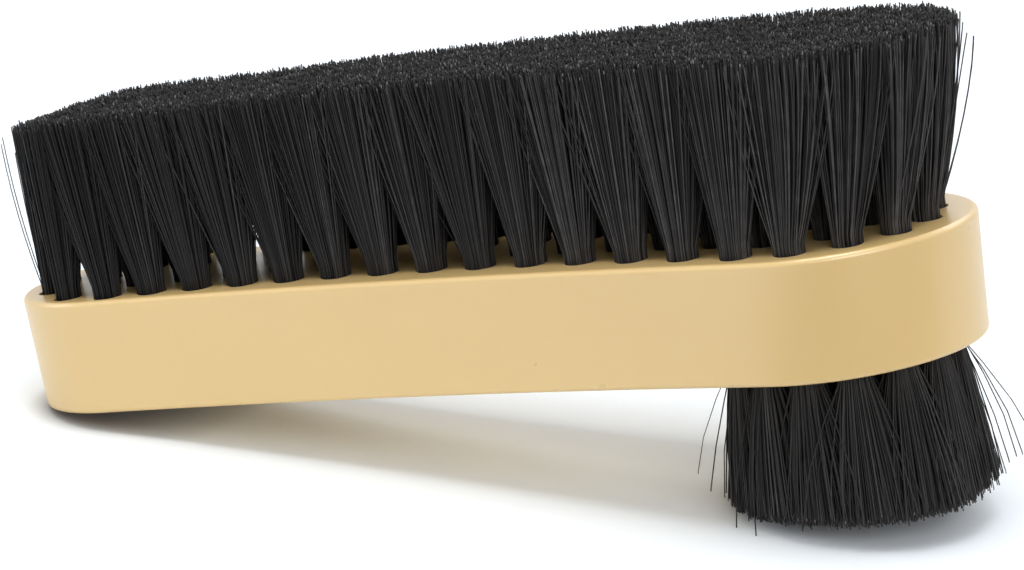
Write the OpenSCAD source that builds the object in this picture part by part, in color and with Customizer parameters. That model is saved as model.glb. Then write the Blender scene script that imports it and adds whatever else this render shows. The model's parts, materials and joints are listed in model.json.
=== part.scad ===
// Two-in-one shoe shine brush: a moulded handle with a field of polishing tufts on one face
// and a round dauber for spreading polish under its wide end.
// Everything is drawn in the handle's own frame first: X runs from the narrow tip to the wide tip,
// and Z is 0 on the face that carries the polishing tufts. at_rest() then lays the brush down as it
// lies on a table, on the lower edge of its narrow end and the tips of the dauber.

/* [Handle] */
// Overall length of the handle
handle_length = 160; // [145:1:185]
// Width across the wide end, over the dauber
wide_width = 46.5; // [44:0.5:54]
// Width across the narrow end
narrow_width = 36; // [34:0.5:42]
// Radius of the long hollow curve of each side, between the two round ends
waist_radius = 700; // [560:10:1200]
// Thickness of the handle
handle_thickness = 18.3; // [17.5:0.1:24]
// How far the walls draw in towards the underside
side_draft = 0.7; // [0:0.1:1.2]
// Radius along the upper and lower edges
edge_radius = 0.8; // [0.4:0.1:1.5]

/* [Polishing tufts] */
// Length of the trimmed bristle above the handle
bristle_length = 28.6; // [20:0.2:38]
// Distance from one tuft to the next along a row, as near as each stretch of the row allows
tuft_pitch = 8.5; // [8.2:0.1:9.4]
// The same along the back of the inner row, where the tufts stand a little wider apart
inner_back_pitch = 8.9; // [8.4:0.1:9.8]
// Share by which the tufts along a side stand closer than that at the narrow end, and wider apart at
// the wide end
tuft_crowding = 0.09; // [0:0.01:0.12]
// Radius of the outer row of tufts round the wide end
row_wide_radius = 18.6; // [17.6:0.1:19]
// Radius of the outer row of tufts round the narrow end
row_narrow_radius = 14.8; // [14.2:0.1:15]
// Radius of the long hollow curve of the outer row along each side
row_waist_radius = 300; // [280:5:400]
// Distance from the wide tip of the handle to the outer row
wide_tip_inset = 6.5; // [5:0.1:7.5]
// Distance from the narrow tip of the handle to the outer row
narrow_tip_inset = 5.2; // [4.2:0.1:6]
// Distance from the outer row to the inner row
row_spacing = 8; // [7.6:0.1:8.4]
// How far short of the narrow end the last tuft of the inner row stands at the front
inner_front_stop = 2.4; // [1.6:0.1:3]
// How far short of the narrow end the last tuft of the inner row stands at the back
inner_back_stop = 5.7; // [5:0.1:6.4]
// Length of the short centre row, which ends in the middle of the wide end
centre_row_length = 16.4; // [15:0.1:18]
// Distance from the handle's edge in to the trimmed ends of the outer bristles
trim_inset = 1; // [0.4:0.1:1.6]
// How far the trimmed ends lean towards the wide end
bristle_lean = 2.8; // [0:0.2:4]
// Height at which the outer tufts have opened out to meet their neighbours
flare_height = 12; // [6:0.5:14]
// Depth of a tuft hole in the upper face
hole_depth = 8; // [6:0.1:8.4]

/* [Dauber] */
// Distance from the wide tip of the handle to the dauber's axis
dauber_setback = 22; // [21:0.5:26]
// Length of the bristle on the dauber's axis
dauber_length = 24.5; // [20:0.5:30]
// How much shorter the dauber is at its edge than on its axis
dauber_dome = 4; // [3:0.5:6]
// Diameter over the spread tips of the dauber
dauber_tip_diameter = 40; // [38:0.5:42]
// Diameter of the outer circle of tuft holes
dauber_outer_circle = 31; // [29:0.5:32]
// Diameter of the inner circle of tuft holes
dauber_inner_circle = 15.6; // [14:0.2:17]
// Number of tufts on the outer circle
dauber_outer_tufts = 14; // [12:1:15]
// Number of tufts on the inner circle
dauber_inner_tufts = 7; // [6:1:7]
// Depth of a tuft hole in the underside
dauber_hole_depth = 7.5; // [6:0.1:8]
// How deep the table flattens the tips that the brush rests on
rest_flat = 0.5; // [0.3:0.1:1]

/* [Roots and gaps] */
// Diameter of a drilled tuft hole
hole_diameter = 4.6; // [4:0.1:5]
// Height over which a tuft stands straight out of its hole before it opens
straight_height = 2.1; // [2.1:0.1:4]
// Gap between the root of a tuft and the wall of its hole
root_clearance = 0.05; // [0.02:0.01:0.15]
// Gap between neighbouring tufts where they have opened out
tuft_gap = 0.5; // [0.3:0.1:1]

/* [Anchors] */
// Thickness of the flat wire that holds a tuft in its hole
anchor_thickness = 0.5; // [0.3:0.1:0.8]
// Height of the flat wire
anchor_height = 1.8; // [1.2:0.1:2.4]
// How far each end of an anchor bites into the wall of its hole
anchor_bite = 0.3; // [0.1:0.05:0.4]

/* [Colours] */
// Colour of the handle
handle_colour = "#e3c897";
// Colour of the bristles
bristle_colour = "#242424";
// Colour of the anchors
anchor_colour = "#b9bbbd";

/* [Hidden] */

// Middle of the hollow arc that touches two round ends which lie on the middle line
function waist_middle(wide_x, wide_radius, narrow_x, narrow_radius, waist_radius) =
  let (
    span = wide_x - narrow_x,
    to_wide = wide_radius + waist_radius,
    to_narrow = narrow_radius + waist_radius,
    along = (to_narrow * to_narrow - to_wide * to_wide + span * span) / (2 * span)
  )
  [narrow_x + along, sqrt(to_narrow * to_narrow - along * along)];

// The handle's plan: two round ends and, on each side, one hollow arc that is tangent to both
wide_radius = wide_width / 2;
narrow_radius = narrow_width / 2;
wide_x = handle_length - wide_radius;
narrow_x = narrow_radius;
waist = waist_middle(wide_x, wide_radius, narrow_x, narrow_radius, waist_radius);
// Directions of the outward normal where the round ends meet the side arcs
wide_turn = atan2(waist.y, waist.x - wide_x);
narrow_turn = atan2(waist.y, waist.x - narrow_x);
side_turn = wide_turn - narrow_turn;

// Facets of the handle: degrees of a round end per facet, facets of a side arc, and of an edge radius
end_step = 5;
side_steps = 12;
edge_steps = 4;

function polar(r, angle) = [r * cos(angle), r * sin(angle)];
function flat_sum(v, i = 0) = i < len(v) ? v[i] + flat_sum(v, i + 1) : [0, 0];
function mean(v) = flat_sum(v) / len(v);

// Half of the plan, drawn in by inset, from the wide tip round to the narrow tip
function half_outline(inset) =
  let (
    wide_steps = ceil(wide_turn / end_step),
    narrow_steps = ceil((180 - narrow_turn) / end_step)
  )
  concat(
    [for (i = [0:wide_steps])
      [wide_x, 0] + polar(wide_radius - inset, wide_turn * i / wide_steps)],
    [for (i = [1:side_steps - 1])
      waist - polar(waist_radius + inset, wide_turn - side_turn * i / side_steps)],
    [for (i = [0:narrow_steps])
      [narrow_x, 0] + polar(narrow_radius - inset, narrow_turn + (180 - narrow_turn) * i / narrow_steps)]
  );

// The whole plan as a closed ring: the front half is the back half mirrored
function outline(inset) =
  let (back = half_outline(inset), last = len(back) - 1)
  concat(back, [for (i = [last - 1:-1:1]) [back[i].x, -back[i].y]]);

// Heights and insets of the handle's rings, from the underside up: edge radius, drafted wall, edge radius
wall_rings = concat(
  [for (i = [0:edge_steps])
    let (turn = 90 * i / edge_steps)
    [edge_radius * (1 - sin(turn)) + side_draft, -handle_thickness + edge_radius * (1 - cos(turn))]],
  [for (i = [0:edge_steps])
    let (turn = 90 * i / edge_steps)
    [edge_radius * (1 - cos(turn)), -edge_radius * (1 - sin(turn))]]
);

// One wall of triangles between two rings of the same number of points
function band(low, high, count) =
  [for (i = [0:count - 1])
    let (j = (i + 1) % count)
    each [[low + i, high + i, high + j], [low + i, high + j, low + j]]];

// A skin over rings of points that all have the same count, closed by a flat face at each end
module loft(rings) {
  count = len(rings[0]);
  top = (len(rings) - 1) * count;
  polyhedron(
    points = [for (ring = rings) each ring],
    faces = concat(
      [[for (i = [0:count - 1]) i]],
      [for (k = [0:len(rings) - 2]) each band(k * count, (k + 1) * count, count)],
      [[for (i = [count - 1:-1:0]) top + i]]
    )
  );
}

// How far a point lies inside the handle's outline
function depth_in_plan(p) =
  atan2(abs(p.y), p.x - wide_x) < wide_turn ? wide_radius - norm(p - [wide_x, 0])
  : atan2(abs(p.y), p.x - narrow_x) > narrow_turn ? narrow_radius - norm(p - [narrow_x, 0])
  : norm([p.x, abs(p.y)] - waist) - waist_radius;

// Rows of tufts. The outer row is a plan of its own, also with two round ends and hollow sides, and
// the inner row is the same plan drawn in by row_spacing. inset is how far a row is drawn in, and a
// place on it is the distance along it from the wide tip, along one side and round the narrow end.
row_wide_x = handle_length - wide_tip_inset - row_wide_radius;
row_narrow_x = narrow_tip_inset + row_narrow_radius;
row_waist = waist_middle(row_wide_x, row_wide_radius, row_narrow_x, row_narrow_radius, row_waist_radius);
row_wide_turn = atan2(row_waist.y, row_waist.x - row_wide_x);
row_narrow_turn = atan2(row_waist.y, row_waist.x - row_narrow_x);
row_side_turn = row_wide_turn - row_narrow_turn;

function arc_length(r, angle) = r * angle * PI / 180;
function wide_part(inset) = arc_length(row_wide_radius - inset, row_wide_turn);
function side_part(inset) = arc_length(row_waist_radius + inset, row_side_turn);
function narrow_part(inset) = arc_length(row_narrow_radius - inset, 180 - row_narrow_turn);
function side_end(inset) = wide_part(inset) + side_part(inset);
function half_row(inset) = side_end(inset) + narrow_part(inset);

// The point and the direction of the outward normal at a place on the back half of a row
function wide_station(inset, normal) =
  [[row_wide_x, 0] + polar(row_wide_radius - inset, normal), normal];
function side_station(inset, normal) = [row_waist - polar(row_waist_radius + inset, normal), normal];
function narrow_station(inset, normal) =
  [[row_narrow_x, 0] + polar(row_narrow_radius - inset, normal), normal];
function station(inset, place) =
  let (
    at_side = (place - wide_part(inset)) / side_part(inset),
    at_narrow = (place - side_end(inset)) / narrow_part(inset)
  )
  at_side < 0 ? wide_station(inset, row_wide_turn * place / wide_part(inset))
  : at_narrow < 0 ? side_station(inset, row_wide_turn - row_side_turn * at_side)
  : narrow_station(inset, row_narrow_turn + (180 - row_narrow_turn) * at_narrow);

// Places from one place to another, about pitch apart, which close up steadily by crowding.
// A spot is [place, spacing there].
function spots(from, to, pitch, crowding = 0) =
  let (steps = max(1, round((to - from) / pitch)))
  [for (i = [0:steps])
    let (t = i / steps)
    [
      from + (to - from) * t * (1 + crowding * (1 - t)),
      (to - from) / steps * (1 + crowding * (1 - 2 * t))
    ]];

// The centre row fills the wide end, between the two halves of the inner row
centre_start = row_wide_x - centre_row_length;
centre_row = [for (spot = spots(centre_start, row_wide_x, tuft_pitch))
  let (
    side_arc = row_waist_radius + row_spacing,
    along = spot[0] - row_waist.x,
    half_across = (row_waist.y - sqrt(side_arc * side_arc - along * along) - tuft_gap) / 2
  )
  [[spot[0], 0], 90, (spot[1] - tuft_gap) / 2, half_across, half_across]];

// How far a tuft of the inner row reaches inwards: halfway to the middle where it faces the centre
// row or stands round an end, and otherwise to the middle line itself
function inner_reach(p) =
  p.x > row_wide_x ? (row_wide_radius - row_spacing) / 2
  : p.x < row_narrow_x ? (row_narrow_radius - row_spacing) / 2
  : p.x > centre_start - tuft_pitch ? p.y / 2
  : p.y;

// A tuft is [middle, normal, half its length along the row, half its width outwards, and inwards].
// inset is 0 for the outer row, and side is 1 at the back and -1 at the front.
function row_tuft(inset, spot, side) =
  let (
    outer = inset == 0,
    at = station(inset, spot[0]),
    half_band = (row_spacing - tuft_gap) / 2
  )
  [
    [at[0].x, side * at[0].y],
    side * at[1],
    (spot[1] - tuft_gap) / 2,
    outer ? depth_in_plan(at[0]) - trim_inset : half_band,
    outer ? half_band : inner_reach(at[0]) - tuft_gap / 2
  ];

// The last tuft of a side: the outer row's stands where its round end begins
function last_on_side(inset, side) =
  side_end(inset) - (inset == 0 ? 0 : side < 0 ? inner_front_stop : inner_back_stop);
function side_spots(inset, side) =
  let (from = wide_part(inset), to = last_on_side(inset, side))
  inset == 0 ? spots(from, to, tuft_pitch, tuft_crowding)
  : spots(from, to, side < 0 ? tuft_pitch : inner_back_pitch);

// The stretches of a row. The tuft on a tip stands on the middle line, so it is placed only once.
function wide_end(inset) =
  let (places = spots(0, wide_part(inset), tuft_pitch))
  [for (i = [0:len(places) - 2], side = [-1, 1])
    if (i > 0 || side > 0) row_tuft(inset, places[i], side)];
function narrow_end(inset) =
  [for (side = [-1, 1])
    let (places = spots(last_on_side(inset, side), half_row(inset), tuft_pitch), tip = len(places) - 1)
    for (i = [1:tip])
      if (i < tip || side > 0) row_tuft(inset, places[i], side)];
function long_side(inset, side) = [for (spot = side_spots(inset, side)) row_tuft(inset, spot, side)];

// The dauber: two circles of tufts round a centre one, all of which fan out towards their tips
dauber_x = handle_length - dauber_setback;
dauber_tip_radius = dauber_tip_diameter / 2;
dauber_outer_radius = dauber_outer_circle / 2;
dauber_inner_radius = dauber_inner_circle / 2;
// Circles that part the three groups of tips
dauber_core = dauber_tip_radius / 5;
dauber_parting = dauber_core + (dauber_tip_radius - dauber_core) / 2;

// A dauber tuft is a tuft whose tips are moved out to the middle of their own band
function dauber_ring(radius, count, band_in, band_out) =
  let (tip_middle = (band_in + band_out) / 2, half_band = (band_out - band_in - tuft_gap) / 2)
  [for (i = [0:count - 1])
    let (angle = 360 * (i + 0.5) / count)
    [
      [dauber_x, 0] + polar(radius, angle),
      angle,
      tip_middle * sin(180 / count) - tuft_gap / 2,
      half_band,
      half_band,
      polar(tip_middle - radius, angle)
    ]];
dauber_outer = dauber_ring(dauber_outer_radius, dauber_outer_tufts, dauber_parting, dauber_tip_radius);
dauber_inner = dauber_ring(dauber_inner_radius, dauber_inner_tufts, dauber_core, dauber_parting);
dauber_middle = [[[dauber_x, 0], 0, dauber_core - tuft_gap / 2, dauber_core - tuft_gap / 2,
  dauber_core - tuft_gap / 2, [0, 0]]];

// The domed face of the dauber, as a depth below the underside of the handle
dome_curve = dauber_dome / (dauber_tip_radius * dauber_tip_radius);
function dome_depth(p) =
  dauber_length - dome_curve * ((p.x - dauber_x) * (p.x - dauber_x) + p.y * p.y);

// How the brush lies. The table is a plane tangent to the lower edge of the narrow tip that cuts
// the dome rest_flat deep. The slope of a line through a point that just touches the dome:
function touching_slope(x, depth) =
  let (run = dauber_x - x, drop = (dauber_length - rest_flat - depth) / dome_curve)
  2 * dome_curve * (run - sqrt(run * run - drop));
edge_middle = [side_draft + edge_radius, -handle_thickness + edge_radius];
// The edge is round, so the point that touches the table depends a little on the tilt: found in two steps
first_tilt = atan(touching_slope(edge_middle.x, 0));
rest_tilt = atan(touching_slope(
  edge_middle.x - edge_radius * sin(first_tilt), -edge_radius * (1 - cos(first_tilt))));
table_level = edge_middle.x * sin(rest_tilt) + edge_middle.y * cos(rest_tilt) - edge_radius;
// Depth of the table below the underside of the handle
function table_depth(p) =
  -handle_thickness - (table_level - p.x * sin(rest_tilt)) / cos(rest_tilt);

// Ends of the brush as it lies, which set the middle of its length
function lying_x(x, z) = x * cos(rest_tilt) - z * sin(rest_tilt);
rest_left = min(
  lying_x(trim_inset + bristle_lean, bristle_length),
  lying_x(0, -edge_radius));
rest_right = max(
  lying_x(dauber_x + dauber_tip_radius, -handle_thickness - dauber_length + dauber_dome),
  lying_x(handle_length - side_draft, edge_radius - handle_thickness),
  lying_x(handle_length - trim_inset + bristle_lean, bristle_length));

module at_rest() {
  translate([-(rest_left + rest_right) / 2, 0, -table_level])
    rotate([0, -rest_tilt, 0])
      children();
}

// Turns what is drawn above the upper face into what hangs below the underside
module on_underside() {
  translate([0, 0, -handle_thickness]) mirror([0, 0, 1]) children();
}

// Tufts. A tuft has a root that fills its hole and stands straight out of it, and strands that part
// from the root's end. Each strand stands on its own share of that end, so that neighbours meet along
// one edge and only part from there.
strands = 4;
root_sides = 2 * strands;
// How far a strand shrinks about its own middle where the tuft has opened out, and at its tip
open_shrink = 0.95;
tip_shrink = 0.88;

// Corner k of a tuft that reaches along, outwards and inwards by these halves, about its middle
function corner(k, tuft_normal, along, outwards, inwards) =
  let (
    turn = 360 * k / root_sides,
    across = cos(turn) * (cos(turn) > 0 ? outwards : inwards),
    beside = sin(turn) * along
  )
  [
    across * cos(tuft_normal) - beside * sin(tuft_normal),
    across * sin(tuft_normal) + beside * cos(tuft_normal)
  ];

// Section of strand i, shrunk about its own middle and moved to place
function strand_section(tuft, i, shrink, place) =
  let (
    whole = concat([[0, 0]],
      [for (k = [2 * i:2 * i + 2]) corner(k, tuft[1], tuft[2], tuft[3], tuft[4])]),
    middle = mean(whole)
  )
  [for (p = whole) place + middle + shrink * (p - middle)];

// The tuft as a mesh. opening is the height where it is open, or 0 for strands that run straight to
// their tips. lean moves the tips, and tips is "flat" or "dome".
module tuft(tuft, root_depth, length, opening, lean, tips) {
  root_radius = hole_diameter / 2 - root_clearance;
  fan = len(tuft) > 5 ? tuft[5] : [0, 0];
  at_opening = tuft[0] + (lean + fan) * (opening - straight_height) / (length - straight_height);
  at_tips = tuft[0] + lean + fan;
  root = [for (k = [0:root_sides - 1])
    tuft[0] + corner(k, tuft[1], root_radius, root_radius, root_radius)];
  sections = [for (i = [0:strands - 1])
    concat(
      opening > 0
        ? [[for (p = strand_section(tuft, i, open_shrink, at_opening)) [p.x, p.y, opening]]] : [],
      [[for (p = strand_section(tuft, i, tip_shrink, at_tips))
        [p.x, p.y, tips == "dome" ? min(dome_depth(p), table_depth(p)) : length]]]
    )];
  rings = len(sections[0]);
  hub = 2 * root_sides;
  first = hub + 1;
  // Where a strand's ring starts in the list of points; ring 0 is its share of the root's end
  function ring_points(i, ring) =
    ring == 0
      ? [hub, root_sides + 2 * i, root_sides + 2 * i + 1, root_sides + (2 * i + 2) % root_sides]
      : [for (k = [0:3]) first + (i * rings + ring - 1) * 4 + k];
  polyhedron(
    points = concat(
      [for (p = root) [p.x, p.y, -root_depth]],
      [for (p = root) [p.x, p.y, straight_height]],
      [[tuft[0].x, tuft[0].y, straight_height]],
      [for (strand = sections, section = strand) each section]
    ),
    faces = concat(
      [for (k = [1:root_sides - 2]) [0, k, k + 1]],
      band(0, root_sides, root_sides),
      [for (i = [0:strands - 1], ring = [0:rings - 1])
        let (low = ring_points(i, ring), high = ring_points(i, ring + 1))
        for (k = [0:3])
          let (j = (k + 1) % 4)
          each [[low[k], high[k], high[j]], [low[k], high[j], low[j]]]],
      [for (i = [0:strands - 1])
        let (tip = ring_points(i, rings))
        each [[tip[0], tip[2], tip[1]], [tip[0], tip[3], tip[2]]]]
    )
  );
}

root_depth = hole_depth - anchor_height;
dauber_root_depth = dauber_hole_depth - anchor_height;

module polishing_tufts(tufts, opening) {
  color(bristle_colour)
    at_rest()
      for (t = tufts) tuft(t, root_depth, bristle_length, opening, [bristle_lean, 0], "flat");
}

module dauber_tufts(tufts, opening) {
  color(bristle_colour)
    at_rest()
      on_underside()
        for (t = tufts) tuft(t, dauber_root_depth, dauber_length, opening, [0, 0], "dome");
}

// The flat wire across the bottom of a hole, with both ends in the wall
module anchor() {
  cube([hole_diameter + 2 * anchor_bite, anchor_thickness, anchor_height], center = true);
}

module anchors_in(tufts, depth) {
  for (t = tufts)
    translate([t[0].x, t[0].y, anchor_height / 2 - depth]) anchor();
}

module polishing_anchors(tufts) {
  color(anchor_colour) at_rest() anchors_in(tufts, hole_depth);
}

module dauber_anchors(tufts) {
  color(anchor_colour) at_rest() on_underside() anchors_in(tufts, dauber_hole_depth);
}

// Drilled holes with the two nicks that the anchor's ends cut in the wall
module holes_for(tufts, depth) {
  mouth = 1;
  for (t = tufts)
    translate([t[0].x, t[0].y, -depth])
      cylinder(d = hole_diameter, h = depth + mouth, $fn = 32);
  anchors_in(tufts, depth);
}

polishing_field = concat(
  centre_row,
  [for (inset = [0, row_spacing])
    each concat(wide_end(inset), narrow_end(inset), long_side(inset, -1), long_side(inset, 1))]
);
dauber_field = concat(dauber_outer, dauber_inner, dauber_middle);

module handle() {
  color(handle_colour)
    at_rest()
      difference() {
        loft([for (ring = wall_rings) [for (p = outline(ring[0])) [p.x, p.y, ring[1]]]]);
        holes_for(polishing_field, hole_depth);
        on_underside() holes_for(dauber_field, dauber_hole_depth);
      }
}

module outer_front_tufts() { polishing_tufts(long_side(0, -1), flare_height); }
module outer_back_tufts() { polishing_tufts(long_side(0, 1), flare_height); }
module outer_wide_end_tufts() { polishing_tufts(wide_end(0), flare_height); }
module outer_narrow_end_tufts() { polishing_tufts(narrow_end(0), flare_height); }
module inner_front_tufts() { polishing_tufts(long_side(row_spacing, -1), 0); }
module inner_back_tufts() { polishing_tufts(long_side(row_spacing, 1), 0); }
module inner_wide_end_tufts() { polishing_tufts(wide_end(row_spacing), 0); }
module inner_narrow_end_tufts() { polishing_tufts(narrow_end(row_spacing), 0); }
module centre_row_tufts() { polishing_tufts(centre_row, 0); }
module dauber_outer_tufts_ring() { dauber_tufts(dauber_outer, 0); }
module dauber_inner_tufts_ring() { dauber_tufts(dauber_inner, 0); }
module dauber_centre_tuft() { dauber_tufts(dauber_middle, 0); }

module outer_front_anchors() { polishing_anchors(long_side(0, -1)); }
module outer_back_anchors() { polishing_anchors(long_side(0, 1)); }
module outer_wide_end_anchors() { polishing_anchors(wide_end(0)); }
module outer_narrow_end_anchors() { polishing_anchors(narrow_end(0)); }
module inner_front_anchors() { polishing_anchors(long_side(row_spacing, -1)); }
module inner_back_anchors() { polishing_anchors(long_side(row_spacing, 1)); }
module inner_wide_end_anchors() { polishing_anchors(wide_end(row_spacing)); }
module inner_narrow_end_anchors() { polishing_anchors(narrow_end(row_spacing)); }
module centre_row_anchors() { polishing_anchors(centre_row); }
module dauber_outer_anchors() { dauber_anchors(dauber_outer); }
module dauber_inner_anchors() { dauber_anchors(dauber_inner); }
module dauber_centre_anchor() { dauber_anchors(dauber_middle); }

handle();
outer_front_tufts();
outer_back_tufts();
outer_wide_end_tufts();
outer_narrow_end_tufts();
inner_front_tufts();
inner_back_tufts();
inner_wide_end_tufts();
inner_narrow_end_tufts();
centre_row_tufts();
dauber_outer_tufts_ring();
dauber_inner_tufts_ring();
dauber_centre_tuft();
outer_front_anchors();
outer_back_anchors();
outer_wide_end_anchors();
outer_narrow_end_anchors();
inner_front_anchors();
inner_back_anchors();
inner_wide_end_anchors();
inner_narrow_end_anchors();
centre_row_anchors();
dauber_outer_anchors();
dauber_inner_anchors();
dauber_centre_anchor();
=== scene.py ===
"""Looks of a two-sided shoe shine brush: a cream moulded handle, a field of polishing bristle and
a round dauber under the wide end, with a pale studio round it.

Sizes are in millimetres in the handle's own frame, unless a comment says otherwise. X runs from
the narrow tip to the wide tip, and Z is 0 on the face with the polishing tufts. to_rest() lays
them down where the frame has the brush. All filaments come from one seeded generator, so the
order of its draws is part of the shape."""

import json
import math

import bpy
import numpy as np
from mathutils import Matrix, Vector


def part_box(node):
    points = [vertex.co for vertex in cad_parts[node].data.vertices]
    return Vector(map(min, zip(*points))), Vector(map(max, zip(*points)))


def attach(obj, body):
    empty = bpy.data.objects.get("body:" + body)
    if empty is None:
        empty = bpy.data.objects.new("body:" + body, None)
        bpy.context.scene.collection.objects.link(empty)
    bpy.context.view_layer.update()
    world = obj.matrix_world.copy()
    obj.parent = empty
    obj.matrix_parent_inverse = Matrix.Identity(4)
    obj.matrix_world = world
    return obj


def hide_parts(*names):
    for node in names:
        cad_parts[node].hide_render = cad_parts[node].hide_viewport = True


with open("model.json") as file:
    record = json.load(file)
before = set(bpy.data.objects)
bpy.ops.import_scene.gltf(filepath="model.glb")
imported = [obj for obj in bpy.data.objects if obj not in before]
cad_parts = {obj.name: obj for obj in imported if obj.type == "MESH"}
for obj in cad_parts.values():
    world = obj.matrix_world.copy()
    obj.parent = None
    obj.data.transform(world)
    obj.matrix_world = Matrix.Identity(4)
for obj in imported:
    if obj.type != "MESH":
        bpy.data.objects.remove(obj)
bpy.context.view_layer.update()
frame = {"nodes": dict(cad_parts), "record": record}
rng = np.random.default_rng(11)

MM = 0.001

# The handle's plan: two round ends joined on each side by a hollow arc
HANDLE_LENGTH = 160
WIDE_RADIUS = 23.25
NARROW_RADIUS = 18
WAIST_RADIUS = 700
THICKNESS = 18.3
SIDE_DRAFT = 0.7
EDGE_RADIUS = 0.8

# Tufts
HOLE_DIAMETER = 4.6
HOLE_DEPTH = 8
DAUBER_HOLE_DEPTH = 7.5
ANCHOR_HEIGHT = 1.8
ROOT_RADIUS = 2.15
BRISTLE_LENGTH = 28.6
BRISTLE_LEAN = 2.8
STRAIGHT_HEIGHT = 1.0
TRIM_INSET = 1.0
DAUBER_SETBACK = 22
DAUBER_LENGTH = 24.5
DAUBER_DOME = 4
DAUBER_TIP_RADIUS = 20

WIDE_X = HANDLE_LENGTH - WIDE_RADIUS
NARROW_X = NARROW_RADIUS
SPAN = WIDE_X - NARROW_X
TO_WIDE = WIDE_RADIUS + WAIST_RADIUS
TO_NARROW = NARROW_RADIUS + WAIST_RADIUS
WAIST_X = NARROW_X + (TO_NARROW**2 - TO_WIDE**2 + SPAN**2) / (2 * SPAN)
WAIST_Y = math.sqrt(TO_NARROW**2 - (WAIST_X - NARROW_X) ** 2)
WIDE_TURN = math.atan2(WAIST_Y, WAIST_X - WIDE_X)
NARROW_TURN = math.atan2(WAIST_Y, WAIST_X - NARROW_X)
DAUBER_X = HANDLE_LENGTH - DAUBER_SETBACK


# How the brush lies: the tilt is that of the underside, and the place is that of the anchor in the
# middle of the dauber
underside = frame["record"]["mounts"][0]["axis"]
tilt = math.atan2(underside[0], -underside[2])
TURN = np.array([
    [math.cos(tilt), 0, -math.sin(tilt)],
    [0, 1, 0],
    [math.sin(tilt), 0, math.cos(tilt)],
])
anchor_low, anchor_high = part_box("dauber_centre_anchor")
anchor_middle = np.array([DAUBER_X, 0, DAUBER_HOLE_DEPTH - ANCHOR_HEIGHT / 2 - THICKNESS])
SHIFT = np.array((anchor_low + anchor_high) / 2) / MM - TURN @ anchor_middle


def to_rest(points):
    """Points of the handle's frame laid down in the shared frame, still in millimetres."""
    return points @ TURN.T + SHIFT


def tuft_holes(node):
    """Middles on the plan of the holes that a node's anchors sit in. Each anchor is a box."""
    mesh = frame["nodes"][node].data
    corners = np.empty(len(mesh.vertices) * 3)
    mesh.vertices.foreach_get("co", corners)
    corners = (corners.reshape(-1, 3) / MM - SHIFT) @ TURN
    faces_of_anchor, corners_of_face = 6, 4
    return corners.reshape(-1, faces_of_anchor * corners_of_face, 3).mean(1)[:, :2]


def depth_in_plan(x, y):
    """How far points lie inside the handle's outline."""
    y = np.abs(y)
    from_wide = np.arctan2(y, x - WIDE_X)
    from_narrow = np.arctan2(y, x - NARROW_X)
    wide = WIDE_RADIUS - np.hypot(x - WIDE_X, y)
    narrow = NARROW_RADIUS - np.hypot(x - NARROW_X, y)
    side = np.hypot(x - WAIST_X, y - WAIST_Y) - WAIST_RADIUS
    return np.where(from_wide < WIDE_TURN, wide, np.where(from_narrow > NARROW_TURN, narrow, side))


# Materials


def new_material(name):
    material = bpy.data.materials.new(name)
    material.use_nodes = True
    nodes, links = material.node_tree.nodes, material.node_tree.links
    return material, nodes, links, nodes["Principled BSDF"]


def noise_of(nodes, links, source, scale, detail=3.0, roughness=0.5):
    noise = nodes.new("ShaderNodeTexNoise")
    noise.inputs["Scale"].default_value = scale
    noise.inputs["Detail"].default_value = detail
    noise.inputs["Roughness"].default_value = roughness
    links.new(source, noise.inputs["Vector"])
    return noise


def ramp_of(nodes, links, source, stops):
    ramp = nodes.new("ShaderNodeValToRGB")
    elements = ramp.color_ramp.elements
    while len(elements) < len(stops):
        elements.new(0.5)
    for element, (place, colour) in zip(elements, stops):
        element.position = place
        element.color = (*colour, 1)
    links.new(source, ramp.inputs["Fac"])
    return ramp


def range_of(nodes, links, source, low, high, start=0.0, end=1.0):
    """What runs from start to end, made to run from low to high."""
    spread = nodes.new("ShaderNodeMapRange")
    spread.inputs["From Min"].default_value = start
    spread.inputs["From Max"].default_value = end
    spread.inputs["To Min"].default_value = low
    spread.inputs["To Max"].default_value = high
    links.new(source, spread.inputs["Value"])
    return spread.outputs["Result"]


def math_of(nodes, links, operation, *sources):
    result = nodes.new("ShaderNodeMath")
    result.operation = operation
    for source, socket in zip(sources, result.inputs):
        links.new(source, socket)
    return result


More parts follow.
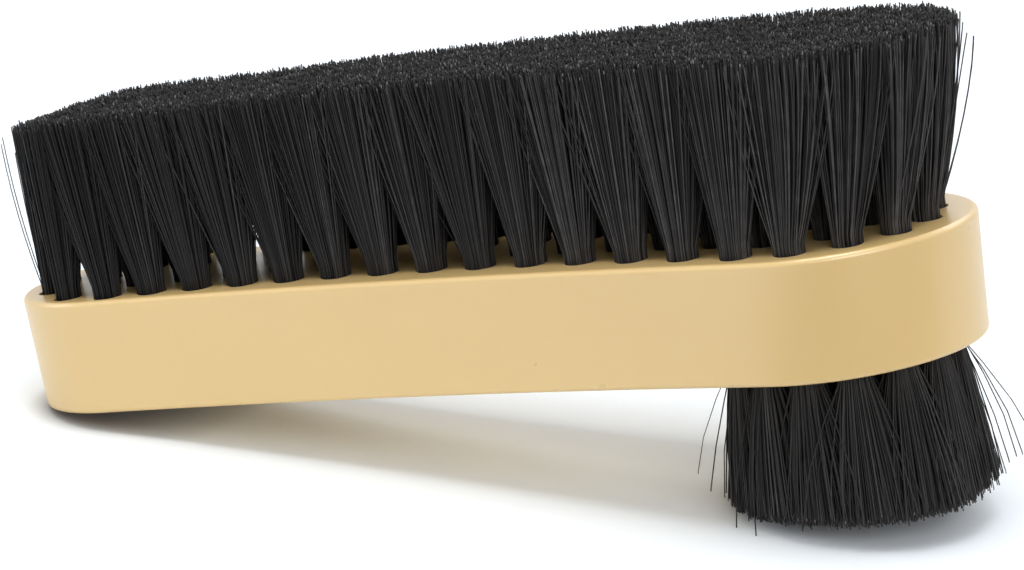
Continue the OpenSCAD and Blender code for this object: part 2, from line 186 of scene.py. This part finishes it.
def plastic():
    """Cream moulded plastic, faintly cloudy, with uneven gloss and fine lines along the handle."""
    material, nodes, links, shader = new_material("cream_plastic")
    where = nodes.new("ShaderNodeTexCoord").outputs["Object"]
    cloud = noise_of(nodes, links, where, scale=40)
    tone = ramp_of(nodes, links, cloud.outputs["Fac"], [
        (0.10, (0.700, 0.492, 0.206)),
        (0.50, (0.714, 0.504, 0.215)),
        (0.90, (0.728, 0.517, 0.224)),
    ])
    links.new(tone.outputs["Color"], shader.inputs["Base Color"])
    scuffs = noise_of(nodes, links, where, scale=160, detail=2)
    gloss = range_of(nodes, links, scuffs.outputs["Fac"], 0.25, 0.34)
    links.new(gloss, shader.inputs["Roughness"])
    # Turned so that the fine lines run along the handle, which lies tilted
    level = nodes.new("ShaderNodeVectorRotate")
    level.rotation_type = "Y_AXIS"
    level.inputs["Angle"].default_value = tilt
    links.new(where, level.inputs["Vector"])
    drawn = nodes.new("ShaderNodeMapping")
    drawn.inputs["Scale"].default_value = (0.04, 0.04, 1)
    links.new(level.outputs["Vector"], drawn.inputs["Vector"])
    lines = noise_of(nodes, links, drawn.outputs["Vector"], scale=900, detail=2)
    bump = nodes.new("ShaderNodeBump")
    bump.inputs["Strength"].default_value = 0.04
    bump.inputs["Distance"].default_value = 0.0001
    links.new(lines.outputs["Fac"], bump.inputs["Height"])
    links.new(bump.outputs["Normal"], shader.inputs["Normal"])
    shader.inputs["Subsurface Weight"].default_value = 0.12
    shader.inputs["Subsurface Scale"].default_value = 0.002
    shader.inputs["Subsurface Radius"].default_value = (1.0, 0.7, 0.4)
    shader.inputs["Specular IOR Level"].default_value = 1.0
    return material


def bristle(name, dark, light, cut):
    """Black bristle. Each filament has a tone of its own, which picks a colour from dark over light
    to cut, its length is streaked, and its cut end has a second tone."""
    material, nodes, links, shader = new_material(name)
    tone = nodes.new("ShaderNodeAttribute")
    tone.attribute_name = "tone"
    where = nodes.new("ShaderNodeTexCoord").outputs["Object"]
    fleck = noise_of(nodes, links, where, scale=500, detail=2)
    faint = range_of(nodes, links, fleck.outputs["Fac"], 0.32, 0.68)
    mixed = math_of(nodes, links, "MULTIPLY", tone.outputs["Fac"], faint)
    stops = [(0.0, dark), (0.55, light), (1.0, cut)]
    colour = ramp_of(nodes, links, mixed.outputs["Value"], stops)
    links.new(colour.outputs["Color"], shader.inputs["Base Color"])
    gloss = range_of(nodes, links, fleck.outputs["Fac"], 0.32, 0.52)
    links.new(gloss, shader.inputs["Roughness"])
    shader.inputs["Specular IOR Level"].default_value = 0.09
    return material


def wire():
    """Drawn steel wire with fine lines along it."""
    material, nodes, links, shader = new_material("anchor_wire")
    where = nodes.new("ShaderNodeTexCoord").outputs["Object"]
    drawn = nodes.new("ShaderNodeMapping")
    drawn.inputs["Scale"].default_value = (0.08, 1, 1)
    links.new(where, drawn.inputs["Vector"])
    lines = noise_of(nodes, links, drawn.outputs["Vector"], scale=3000, detail=4)
    tone = ramp_of(nodes, links, lines.outputs["Fac"], [
        (0.3, (0.42, 0.43, 0.44)),
        (0.7, (0.60, 0.61, 0.62)),
    ])
    links.new(tone.outputs["Color"], shader.inputs["Base Color"])
    gloss = range_of(nodes, links, lines.outputs["Fac"], 0.22, 0.45)
    links.new(gloss, shader.inputs["Roughness"])
    shader.inputs["Metallic"].default_value = 1.0
    return material


PLASTIC = plastic()
POLISHING = bristle(
    "polishing_bristle",
    dark=(0.0175, 0.0168, 0.0170),
    light=(0.062, 0.0593, 0.0602),
    cut=(0.17, 0.165, 0.16),
)
DAUBING = bristle(
    "dauber_bristle",
    dark=(0.0260, 0.0247, 0.0244),
    light=(0.092, 0.0875, 0.0870),
    cut=(0.14, 0.135, 0.13),
)
WIRE = wire()


# The handle

ROUND_STEP = math.radians(2)
SIDE_POINTS = 41
EDGE_POINTS = 9
SHARP_ANGLE = math.radians(40)
CUT_THROUGH = 1


def plan_ring(inset):
    """The handle's outline drawn in by inset, once round from the wide tip."""
    wide = np.linspace(0, WIDE_TURN, round(WIDE_TURN / ROUND_STEP) + 1)
    narrow = np.linspace(NARROW_TURN, math.pi, round((math.pi - NARROW_TURN) / ROUND_STEP) + 1)
    side = np.linspace(WIDE_TURN, NARROW_TURN, SIDE_POINTS)[1:-1]
    back = np.concatenate([
        np.stack([
            WIDE_X + (WIDE_RADIUS - inset) * np.cos(wide),
            (WIDE_RADIUS - inset) * np.sin(wide),
        ], 1),
        np.stack([
            WAIST_X - (WAIST_RADIUS + inset) * np.cos(side),
            WAIST_Y - (WAIST_RADIUS + inset) * np.sin(side),
        ], 1),
        np.stack([
            NARROW_X + (NARROW_RADIUS - inset) * np.cos(narrow),
            (NARROW_RADIUS - inset) * np.sin(narrow),
        ], 1),
    ])
    front = back[-2:0:-1] * [1, -1]
    return np.concatenate([back, front])


def handle_body():
    """A skin over rings of the outline, with the edge radius at both ends of the drafted wall."""
    quarter = np.linspace(0, math.pi / 2, EDGE_POINTS)
    low = [
        (EDGE_RADIUS * (1 - math.sin(a)) + SIDE_DRAFT, EDGE_RADIUS * (1 - math.cos(a)) - THICKNESS)
        for a in quarter
    ]
    wall = [
        (SIDE_DRAFT * (1 - k), -THICKNESS + EDGE_RADIUS + k * (THICKNESS - 2 * EDGE_RADIUS))
        for k in (0.25, 0.5, 0.75)
    ]
    high = [
        (EDGE_RADIUS * (1 - math.cos(a)), -EDGE_RADIUS * (1 - math.sin(a)))
        for a in quarter
    ]
    rings = []
    for inset, z in low + wall + high:
        ring = plan_ring(inset)
        rings.append(np.column_stack([ring, np.full(len(ring), z)]))
    count = len(rings[0])
    faces = [list(range(count))[::-1]]
    for k in range(len(rings) - 1):
        for i in range(count):
            j = (i + 1) % count
            faces.append([k * count + i, k * count + j, (k + 1) * count + j, (k + 1) * count + i])
    faces.append([(len(rings) - 1) * count + i for i in range(count)])
    return np.concatenate(rings), faces


def hole_tool(spots, low, high, sides=28):
    """Cylinders on the tuft holes, to be cut from the handle."""
    turn = np.arange(sides) * 2 * math.pi / sides
    circle = np.stack([np.cos(turn), np.sin(turn)], 1) * HOLE_DIAMETER / 2
    points, faces = [], []
    for spot in spots:
        first = len(points) * 2 * sides
        ends = [np.column_stack([spot + circle, np.full(sides, z)]) for z in (low, high)]
        points.append(np.concatenate(ends))
        faces.append([first + i for i in range(sides)][::-1])
        faces.append([first + sides + i for i in range(sides)])
        for i in range(sides):
            j = (i + 1) % sides
            faces.append([first + i, first + j, first + sides + j, first + sides + i])
    return np.concatenate(points), faces


def new_object(name, points, faces):
    mesh = bpy.data.meshes.new(name)
    mesh.from_pydata((to_rest(points) * MM).tolist(), [], faces)
    mesh.update()
    piece = bpy.data.objects.new(name, mesh)
    bpy.context.scene.collection.objects.link(piece)
    return piece


ROWS = (
    "outer_front",
    "outer_back",
    "outer_wide_end",
    "outer_narrow_end",
    "inner_front",
    "inner_back",
    "inner_wide_end",
    "inner_narrow_end",
    "centre_row",
)
# The dauber's circles of tufts: the node of their anchors and that of their tufts
RINGS = {
    "dauber_outer": ("dauber_outer_anchors", "dauber_outer_tufts_ring"),
    "dauber_inner": ("dauber_inner_anchors", "dauber_inner_tufts_ring"),
    "dauber_centre": ("dauber_centre_anchor", "dauber_centre_tuft"),
}
row_holes = {row: tuft_holes(row + "_anchors") for row in ROWS}
ring_holes = {ring: tuft_holes(nodes[0]) for ring, nodes in RINGS.items()}


def make_handle():
    """The drilled handle. The drills reach past its faces by CUT_THROUGH."""
    handle = new_object("handle_shell", *handle_body())
    above = np.concatenate(list(row_holes.values()))
    below = np.concatenate(list(ring_holes.values()))
    tools = [
        new_object("holes_above", *hole_tool(above, -HOLE_DEPTH, CUT_THROUGH)),
        new_object("holes_below", *hole_tool(
            below, -THICKNESS - CUT_THROUGH, DAUBER_HOLE_DEPTH - THICKNESS)),
    ]
    for tool in tools:
        cut = handle.modifiers.new("cut", "BOOLEAN")
        cut.operation = "DIFFERENCE"
        cut.solver = "EXACT"
        cut.object = tool
    seen = handle.evaluated_get(bpy.context.evaluated_depsgraph_get())
    drilled = bpy.data.meshes.new_from_object(seen)
    handle.modifiers.clear()
    handle.data = drilled
    for tool in tools:
        bpy.data.objects.remove(tool)
    drilled.shade_smooth()
    drilled.set_sharp_from_angle(angle=SHARP_ANGLE)
    weighted = handle.modifiers.new("weighted", "WEIGHTED_NORMAL")
    weighted.keep_sharp = True
    weighted.weight = 100
    drilled.materials.clear()
    drilled.materials.append(PLASTIC)
    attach(handle, "root")
    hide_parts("handle")


# Filaments

FLOOR_GAP = 0.03
FILAMENT_RADIUS = 0.115
RADIUS_SPREAD = 0.12
RADIUS_RANGE = (0.7, 1.35)
RADIUS_AT_TIP = 0.9
GRID_JITTER = 0.33
EASE_SPREAD, LARGEST_EASE = 0.2, 1.9
TONE_SHAPE = (1.3, 3.2)
BRIGHT_CUT = (1.3, 2.0)
DULL_CUT = (0.0, 0.5)
SIDES = 3


def filament_mesh(name, paths, radii, tones, cut_tone):
    """Three-sided filaments along paths of shape (count, rings, 3), capped at both ends."""
    count, rings, _ = paths.shape
    along = np.gradient(paths, axis=1)
    along /= np.linalg.norm(along, axis=2, keepdims=True)
    side = np.cross(along, [0.0, 1.0, 0.0])
    side /= np.linalg.norm(side, axis=2, keepdims=True)
    other = np.cross(along, side)
    turn = rng.uniform(0, 2 * math.pi, count)[:, None, None, None]
    angle = turn + np.arange(SIDES)[None, None, :, None] * 2 * math.pi / SIDES
    ring = side[:, :, None] * np.cos(angle) + other[:, :, None] * np.sin(angle)
    points = paths[:, :, None] + ring * radii[:, :, None, None]
    points = to_rest(points.reshape(-1, 3))
    points[:, 2] = np.maximum(points[:, 2], FLOOR_GAP)

    first = np.arange(count)[:, None, None] * rings * SIDES
    low = first + np.arange(rings - 1)[None, :, None] * SIDES
    high = low + SIDES
    i = np.arange(SIDES)[None, None, :]
    j = (i + 1) % SIDES
    quads = np.stack([low + i, low + j, high + j, high + i], -1).reshape(-1, 4)
    starts = np.arange(count)[:, None] * rings * SIDES
    roots = starts + np.arange(SIDES)[::-1]
    tips = starts + (rings - 1) * SIDES + np.arange(SIDES)
    corners = np.concatenate([quads.ravel(), roots.ravel(), tips.ravel()]).astype(np.int32)
    sizes = np.concatenate([np.full(len(quads), 4), np.full(2 * count, SIDES)])
    loop_start = np.concatenate([[0], np.cumsum(sizes)[:-1]]).astype(np.int32)

    mesh = bpy.data.meshes.new(name)
    mesh.vertices.add(len(points))
    mesh.vertices.foreach_set("co", (points * MM).ravel().astype(np.float32))
    mesh.loops.add(len(corners))
    mesh.loops.foreach_set("vertex_index", corners)
    mesh.polygons.add(len(sizes))
    mesh.polygons.foreach_set("loop_start", loop_start)
    mesh.update(calc_edges=True)
    smooth = np.ones(len(sizes), bool)
    smooth[len(quads):] = False
    mesh.polygons.foreach_set("use_smooth", smooth)
    # The short last stretch has the tone of the cut end
    shade = np.repeat(tones[:, None], rings - 1, axis=1)
    shade[:, -1] = cut_tone
    shade = np.repeat(shade.ravel(), SIDES * 4)
    shade = np.concatenate([shade, np.repeat(tones, SIDES), np.repeat(cut_tone, SIDES)])
    attribute = mesh.attributes.new("tone", "FLOAT", "CORNER")
    attribute.data.foreach_set("value", shade.astype(np.float32))
    mesh.validate()
    piece = bpy.data.objects.new(name, mesh)
    bpy.context.scene.collection.objects.link(piece)
    return piece


def scattered(x_range, y_range, spacing):
    """Points on a jittered triangular grid."""
    row_height = spacing * math.sqrt(3) / 2
    rows = int((y_range[1] - y_range[0]) / row_height)
    columns = int((x_range[1] - x_range[0]) / spacing)
    grid_x, grid_y = np.meshgrid(np.arange(columns), np.arange(rows))
    x = x_range[0] + (grid_x + 0.5 * (grid_y % 2)) * spacing
    y = y_range[0] + grid_y * row_height
    points = np.stack([x.ravel(), y.ravel()], 1)
    return points + rng.normal(0, GRID_JITTER * spacing, points.shape)


def nearest(points, spots):
    """Which spot is nearest to each point."""
    distance = ((points[:, None] - spots[None]) ** 2).sum(2)
    return distance.argmin(1)


def ripple(points, size, waves=14):
    """A smooth random field of about -1 to 1 over plan points, with features of about size."""
    heading = rng.uniform(0, 2 * math.pi, waves)
    rate = 2 * math.pi / (size * rng.uniform(0.7, 2.2, waves))
    start = rng.uniform(0, 2 * math.pi, waves)
    along = points[:, :1] * np.cos(heading) + points[:, 1:2] * np.sin(heading)
    return np.sin(along * rate + start).sum(1) * math.sqrt(2 / waves) / 2


def filament_paths(roots, tips, tip_z, root_z, levels, ease, straight):
    """Paths that stand up from root_z to the height straight and then lean over to their tips.
    levels are the shares of the rest of their height at which they have a ring."""
    count = len(roots)
    z = np.empty((count, len(levels) + 1))
    z[:, 0] = root_z
    z[:, 1:] = straight + (tip_z[:, None] - straight) * np.array(levels)[None]
    t = np.clip((z - straight) / (tip_z[:, None] - straight), 0, 1)
    eased = 1 - (1 - t) ** ease[:, None]
    flat = roots[:, None] + (tips - roots)[:, None] * eased[:, :, None]
    return np.concatenate([flat, z[:, :, None]], 2)


def tapered(count, rings):
    """Radii of filaments, each a little thinner at its tip."""
    size = FILAMENT_RADIUS * np.clip(rng.normal(1, RADIUS_SPREAD, count), *RADIUS_RANGE)
    return size[:, None] * np.linspace(1.0, RADIUS_AT_TIP, rings)[None]


def root_places(spots, owner, away):
    """Places in the holes: each tuft fills its hole, and its outer filaments stand at the wall."""
    roots = np.empty_like(away)
    for hole, spot in enumerate(spots):
        mine = owner == hole
        apart = away[mine] - away[mine].mean(0)
        reach = np.linalg.norm(apart, axis=1)
        rank = reach.argsort().argsort() + 0.5
        roots[mine] = spot + apart * (ROOT_RADIUS * np.sqrt(rank / len(rank)) / reach)[:, None]
    return roots


def eases(count, middle, least):
    """How soon each filament leans over: 1 is evenly over its height."""
    return np.clip(rng.normal(middle, EASE_SPREAD, count), least, LARGEST_EASE)


def filament_tones(count):
    return rng.beta(*TONE_SHAPE, count)


def cut_tones(count, bright_share):
    """Tones of the cut ends, a share of which catch the light."""
    bright = rng.random(count) < bright_share
    return np.where(bright, rng.uniform(*BRIGHT_CUT, count), rng.uniform(*DULL_CUT, count))


# The polishing bristle

TIP_SPACING = 0.50
TIP_SCATTER = 0.15
POLISH_LEVELS = (0.03, 0.985, 1.0)
TIP_ROW_LEVELS = (0.02, 0.18, 0.36, 0.52, 0.68, 0.84, 0.985, 1.0)
FAN_REACH = 6.4
# How far the middle of a tuft's fan stands from its hole along the handle, by the hole's place: the
# tufts near both tips lean out
LEAN_PLACES = (5, 15, 30, 60, 100, 130, 140, 150)
LEANS = (0, -1.8, -2.2, -0.5, 0.5, 1.3, 4.0, 5.8)
# How much the field rises between its tips, by the place along the handle
CROWN_PLACES = (0, 15, 35, 60, 90, 115, 130, 145, 160)
CROWNS = (0, 0, 0.3, 1.1, 1.2, 1.0, 0.4, 0.1, 0)
# Painted light: the bristle's tone is raised towards the wide tip, where more light falls from the
# front right, and lowered towards the narrow tip
PAINTED_LIGHT_PLACES = (0, 80, 160)
PAINTED_LIGHT_GAINS = (0.8, 1.9, 3.8)
BRIGHTEST_TONE = 1.25
EASE, LEAST_EASE = 1.15, 0.85
BRIGHT_CUTS = 0.09
# The uneven cut of the tips: its spread, its waves and the share that is cut short
CUT_SPREAD = 0.12
CUT_WAVE, CUT_WAVE_LENGTH = 0.3, 1.2
SHORT_CUT, SHORT_SHARE = 0.6, 0.2
# Filaments are shorter at the rim of the field, where they fan out far and at the narrow tip
RIM_DROP, RIM_WIDTH = 0.8, 1.2
FAN_DROP = 0.35
TIP_DROP, TIP_DROP_LENGTH, TIP_DROP_CURVE = 2.0, 13, 1.5
WIDE_TIP_TRIM = 1.1
# A few filaments cross their neighbours, well inside the rim
CROSSING_SHARE, CROSSING_DEPTH, CROSSING_REACH = 0.03, 1.5, 1.8
# How far the fans of neighbouring tufts run into each other, along and across the rows
OVERLAP = (2.1, 1.1)
# Loose hairs that bow out past both tips of the field: which row, which way, how many,
# how far, how much lower, and how soon they bow out. They are picked from this rim:
LOOSE_RIM, LOOSE_HALF_WIDTH = 0.7, 13
LOOSE_HAIRS = (
    ("outer_narrow_end", -1, 8, (0.8, 3.0), (1.0, 4.5), 2.0),
    ("outer_wide_end", 1, 9, (0.6, 3.2), (0.2, 4.0), 1.0),
)


def make_polishing():
    """The field of tips is filled first, and then each tip goes to a tuft near it."""
    spots = np.concatenate([row_holes[row] for row in ROWS])
    owner_row = np.concatenate([[k] * len(row_holes[row]) for k, row in enumerate(ROWS)])
    tips = scattered((0, HANDLE_LENGTH), (-WIDE_RADIUS, WIDE_RADIUS), TIP_SPACING)
    trim = TRIM_INSET + WIDE_TIP_TRIM * np.clip((tips[:, 0] - WIDE_X) / WIDE_RADIUS, 0, 1)
    edge = depth_in_plan(tips[:, 0], tips[:, 1]) - trim
    tips, edge = tips[edge > 0], edge[edge > 0]
    count = len(tips)
    aim = spots + np.outer(np.interp(spots[:, 0], LEAN_PLACES, LEANS) - BRISTLE_LEAN, [1, 0])
    owner = nearest(tips + rng.normal(0, 1, (count, 2)) * OVERLAP, aim)
    away = tips - aim[owner]
    roots = root_places(spots, owner, away)
    end = tips + rng.normal(0, TIP_SCATTER, (count, 2)) + [BRISTLE_LEAN, 0]
    crossing = (rng.random(count) < CROSSING_SHARE) & (edge > CROSSING_DEPTH)
    end[crossing] += rng.normal(0, CROSSING_REACH, (crossing.sum(), 2))
    height = BRISTLE_LENGTH + rng.normal(0, CUT_SPREAD, count)
    height += CUT_WAVE * ripple(tips, CUT_WAVE_LENGTH)
    height -= SHORT_CUT * (rng.random(count) < SHORT_SHARE)
    height += np.interp(tips[:, 0], CROWN_PLACES, CROWNS)
    height -= np.clip(RIM_WIDTH - edge, 0, RIM_WIDTH) * RIM_DROP * rng.random(count)
    height -= FAN_DROP * (np.linalg.norm(away, axis=1) / FAN_REACH) ** 2
    height -= TIP_DROP * np.clip(1 - tips[:, 0] / TIP_DROP_LENGTH, 0, 1) ** TIP_DROP_CURVE
    ease = eases(count, EASE, LEAST_EASE)
    bow = np.zeros(count)
    bend = np.ones(count)
    for row, outwards, hairs, reach, lower, soon in LOOSE_HAIRS:
        at_rim = (edge < LOOSE_RIM) & (np.abs(tips[:, 1]) < LOOSE_HALF_WIDTH)
        at_tip = outwards * (tips[:, 0] - HANDLE_LENGTH / 2) > 0
        far = np.flatnonzero((owner_row[owner] == ROWS.index(row)) & at_rim & at_tip)
        loose = rng.choice(far, hairs, replace=False)
        bow[loose] = outwards * rng.uniform(*reach, hairs)
        height[loose] -= rng.uniform(*lower, hairs)
        bend[loose] = soon
    # Each filament's own tone, times the painted light along the handle
    tones = filament_tones(count) * np.interp(tips[:, 0], PAINTED_LIGHT_PLACES, PAINTED_LIGHT_GAINS)
    tones = np.minimum(tones, BRIGHTEST_TONE)
    cut = cut_tones(count, BRIGHT_CUTS)
    rows_with_loose_hairs = [hairs_of_row[0] for hairs_of_row in LOOSE_HAIRS]
    for k, row in enumerate(ROWS):
        mine = owner_row[owner] == k
        levels = TIP_ROW_LEVELS if row in rows_with_loose_hairs else POLISH_LEVELS
        paths = filament_paths(
            roots[mine], end[mine], height[mine], ANCHOR_HEIGHT - HOLE_DEPTH, levels, ease[mine],
            STRAIGHT_HEIGHT,
        )
        paths[:, 1:, 0] += bow[mine, None] * (1 - (1 - np.array(levels)) ** bend[mine, None])
        radii = tapered(len(paths), paths.shape[1])
        piece = filament_mesh(row + "_bristle", paths, radii, tones[mine], cut[mine])
        piece.data.materials.append(POLISHING)
        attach(piece, "root")
        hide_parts(row + "_tufts")


# The dauber

DAUBER_TIP_SPACING = 0.46
DAUBER_TIP_SCATTER = 0.3
DAUBER_LEVELS = (0.03, 0.30, 0.65, 0.98, 1.0)
DAUBER_STRAIGHT_HEIGHT = 0.5
# Most filaments stay near their tuft, and the rest lean across the gaps to the next ones
DAUBER_OVERLAP, WIDE_OVERLAP, WIDE_SHARE = 1.3, 4.0, 0.3
DAUBER_CROSSING_SHARE, DAUBER_CROSSING_REACH = 0.07, 2.0
# The uneven cut of its tips
DAUBER_CUT_SPREAD = 0.35
DAUBER_CUT_WAVE, DAUBER_CUT_WAVE_LENGTH = 0.5, 4
DAUBER_BRIGHT_CUTS = 0.05
DAUBER_EASE, LEAST_DAUBER_EASE = 1.3, 0.9
# The dauber is worn less on the side of the wide tip, so it is longer there
DAUBER_LONG_SIDE = 1.6
# Loose hairs of the dauber: direction on the plan in degrees, reach past the rim, length
DAUBER_STRAYS = (
    (206, 4.0, 15.5),
    (22, 5.5, 17.5),
    (28, 3.8, 20.5),
    (12, 2.8, 19.0),
    (34, 2.2, 22.0),
    (228, 1.8, 24.3),
    (240, 1.2, 24.5),
)


def make_dauber():
    """Filled like the polishing field. It is built upwards and then turned to hang down."""
    axis = np.array([DAUBER_X, 0])
    spots = np.concatenate([ring_holes[ring] for ring in RINGS])
    owner_ring = np.concatenate([[k] * len(ring_holes[ring]) for k, ring in enumerate(RINGS)])
    wide = DAUBER_TIP_RADIUS
    tips = scattered((DAUBER_X - wide, DAUBER_X + wide), (-wide, wide), DAUBER_TIP_SPACING)
    tips = tips[np.linalg.norm(tips - axis, axis=1) < DAUBER_TIP_RADIUS]
    count = len(tips)
    overlap = np.where(rng.random(count) < WIDE_SHARE, WIDE_OVERLAP, DAUBER_OVERLAP)
    owner = nearest(tips + rng.normal(0, 1, (count, 2)) * overlap[:, None], spots)
    away = tips - spots[owner]
    roots = root_places(spots, owner, away)
    end = tips + rng.normal(0, DAUBER_TIP_SCATTER, (count, 2))
    crossing = rng.random(count) < DAUBER_CROSSING_SHARE
    end[crossing] += rng.normal(0, DAUBER_CROSSING_REACH, (crossing.sum(), 2))
    out = np.linalg.norm(end - axis, axis=1)
    length = DAUBER_LENGTH - DAUBER_DOME * (out / DAUBER_TIP_RADIUS) ** 2
    length += DAUBER_LONG_SIDE * np.clip((end[:, 0] - DAUBER_X) / DAUBER_TIP_RADIUS, 0, 1)
    spread = rng.normal(0, DAUBER_CUT_SPREAD, count)
    length += spread + DAUBER_CUT_WAVE * ripple(tips, DAUBER_CUT_WAVE_LENGTH)
    for turn, reach, hair_length in DAUBER_STRAYS:
        outwards = np.array([math.cos(math.radians(turn)), math.sin(math.radians(turn))])
        hair = np.argmin(np.linalg.norm(tips - axis - outwards * DAUBER_TIP_RADIUS, axis=1))
        end[hair] = axis + outwards * (DAUBER_TIP_RADIUS + reach)
        length[hair] = hair_length
    ease = eases(count, DAUBER_EASE, LEAST_DAUBER_EASE)
    paths = filament_paths(
        roots, end, length, ANCHOR_HEIGHT - DAUBER_HOLE_DEPTH, DAUBER_LEVELS, ease,
        DAUBER_STRAIGHT_HEIGHT,
    )
    paths[:, :, 2] = -THICKNESS - paths[:, :, 2]
    radii = tapered(count, paths.shape[1])
    tones = filament_tones(count)
    cut = cut_tones(count, DAUBER_BRIGHT_CUTS)
    for k, ring in enumerate(RINGS):
        mine = owner_ring[owner] == k
        piece = filament_mesh(ring + "_bristle", paths[mine], radii[mine], tones[mine], cut[mine])
        piece.data.materials.append(DAUBING)
        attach(piece, "root")
        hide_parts(RINGS[ring][1])


make_handle()
make_polishing()
make_dauber()
for node, thing in frame["nodes"].items():
    if "anchor" in node:
        thing.data.materials.clear()
        thing.data.materials.append(WIRE)


# The studio

# Where the camera stands, in degrees and millimetres: the azimuth runs from the front towards the
# wide end
VIEW_AZIMUTH = 25.23
VIEW_ELEVATION = 15.31
VIEW_ROLL = 0.12
VIEW_DISTANCE = 533.4
VIEW_TARGET = (4.63, 0.0, 27.46)
FOCAL_LENGTH = 122.7
SENSOR_WIDTH = 36
# The paper is laid square to the camera's azimuth. Its sizes are in metres, and its notch has a
# corner this far to the right of the middle and away from the camera.
PAPER_NOTCH = (-0.02, -0.075)
PAPER_HALF_WIDTH = 6.0
PAPER_LIFT = 0.02
# How far from the brush the painted contact shadow on the paper reaches, in metres
PAPER_SHADE_REACH = 0.007


def softbox(name, place, aim, size, power):
    light = bpy.data.lights.new(name, "AREA")
    light.shape = "RECTANGLE"
    light.size, light.size_y = size
    light.energy = power
    thing = bpy.data.objects.new(name, light)
    thing.location = place
    thing.rotation_euler = (Vector(aim) - Vector(place)).to_track_quat("-Z", "Y").to_euler()
    bpy.context.scene.collection.objects.link(thing)


def make_floor():
    """A pale floor that takes the brush's shadow and that the camera sees as white paper. In
    front it ends at the right just below the picture, so that the wide end mirrors the dark room
    there."""
    half = PAPER_HALF_WIDTH
    left, front = PAPER_NOTCH
    corners = [
        (-half, -half),
        (left, -half),
        (left, front),
        (half, front),
        (half, half),
        (-half, half),
    ]
    turn = Matrix.Rotation(math.radians(VIEW_AZIMUTH), 3, "Z")
    mesh = bpy.data.meshes.new("floor")
    points = [turn @ Vector((*corner, 0)) for corner in corners]
    mesh.from_pydata(points, [], [range(len(corners))])
    floor = bpy.data.objects.new("floor", mesh)
    bpy.context.scene.collection.objects.link(floor)
    material, nodes, links, shader = new_material("floor_paper")
    # Painted shadow: the paper's colour is darkened where the narrow end all but touches it,
    # standing in for contact shade, but not under the dauber
    painted_contact_shade = nodes.new("ShaderNodeAmbientOcclusion")
    painted_contact_shade.inputs["Distance"].default_value = PAPER_SHADE_REACH
    painted_contact_shade.inputs["Color"].default_value = (1, 1, 1, 1)
    split = nodes.new("ShaderNodeSeparateXYZ")
    links.new(nodes.new("ShaderNodeTexCoord").outputs["Object"], split.inputs["Vector"])
    beyond = range_of(nodes, links, split.outputs["X"], 0.0, 1.0, start=-0.01, end=0.04)
    unshaded_share = math_of(nodes, links, "ADD", painted_contact_shade.outputs["AO"], beyond)
    # The painted contact shadow's colour, from the darkest shade to the plain paper
    paper = ramp_of(nodes, links, unshaded_share.outputs["Value"], [
        (0.10, (0.22, 0.20, 0.19)),
        (0.75, (0.88, 0.93, 0.98)),
    ])
    links.new(paper.outputs["Color"], shader.inputs["Base Color"])
    shader.inputs["Roughness"].default_value = 0.7
    shader.inputs["Specular IOR Level"].default_value = 0.1
    lifted = nodes.new("ShaderNodeEmission")
    lifted.inputs["Color"].default_value = (1, 1, 1, 1)
    path = nodes.new("ShaderNodeLightPath")
    lift = math_of(nodes, links, "MULTIPLY", path.outputs["Is Camera Ray"])
    lift.inputs[1].default_value = PAPER_LIFT
    links.new(lift.outputs["Value"], lifted.inputs["Strength"])
    both = nodes.new("ShaderNodeAddShader")
    links.new(shader.outputs["BSDF"], both.inputs[0])
    links.new(lifted.outputs["Emission"], both.inputs[1])
    links.new(both.outputs["Shader"], nodes["Material Output"].inputs["Surface"])
    mesh.materials.append(material)


def make_world():
    """White to the camera. In reflections it is white above the horizon and dark below it, and
    for everything else it is a plain dimmer light."""
    world = bpy.data.worlds.new("studio")
    world.use_nodes = True
    bpy.context.scene.world = world
    nodes, links = world.node_tree.nodes, world.node_tree.links
    back = nodes["Background"]
    back.inputs["Color"].default_value = (1, 1, 1, 1)
    path = nodes.new("ShaderNodeLightPath")
    split = nodes.new("ShaderNodeSeparateXYZ")
    links.new(nodes.new("ShaderNodeTexCoord").outputs["Generated"], split.inputs["Vector"])
    mirrored = range_of(nodes, links, split.outputs["Z"], 0.06, 1.0, start=-0.10, end=0.02)
    unseen = nodes.new("ShaderNodeMix")
    unseen.inputs["A"].default_value = 0.44
    links.new(mirrored, unseen.inputs["B"])
    links.new(path.outputs["Is Glossy Ray"], unseen.inputs["Factor"])
    strength = nodes.new("ShaderNodeMix")
    strength.inputs["B"].default_value = 1.0
    links.new(unseen.outputs["Result"], strength.inputs["A"])
    links.new(path.outputs["Is Camera Ray"], strength.inputs["Factor"])
    links.new(strength.outputs["Result"], back.inputs["Strength"])


make_floor()
make_world()
softbox("overhead", (0.0, -0.1, 0.9), (0, 0, 0), (0.45, 0.4), 4.4)
softbox("behind", (0.1, 0.75, 0.6), (0, 0, 0.02), (1.4, 0.4), 3.6)
softbox("left", (-1.0, -0.35, 0.45), (0, 0, 0.03), (0.6, 0.6), 3.2)
softbox("front_right", (0.5, -0.5, 0.32), (0, 0, 0.03), (0.45, 0.45), 2.3)

# The camera

camera_data = bpy.data.cameras.new("camera")
camera_data.lens = FOCAL_LENGTH
camera_data.sensor_width = SENSOR_WIDTH
camera_data.clip_start = 0.01
camera_data.clip_end = 50
camera = bpy.data.objects.new("camera", camera_data)
bpy.context.scene.collection.objects.link(camera)
azimuth, elevation = math.radians(VIEW_AZIMUTH), math.radians(VIEW_ELEVATION)
backwards = Vector((
    math.sin(azimuth) * math.cos(elevation),
    -math.cos(azimuth) * math.cos(elevation),
    math.sin(elevation),
))
camera.location = (Vector(VIEW_TARGET) + backwards * VIEW_DISTANCE) * MM
level = (-backwards).to_track_quat("-Z", "Y").to_matrix()
camera.rotation_euler = (level @ Matrix.Rotation(math.radians(VIEW_ROLL), 3, "Z")).to_euler()
bpy.context.scene.camera = camera

bpy.context.scene.view_settings.view_transform = "Standard"
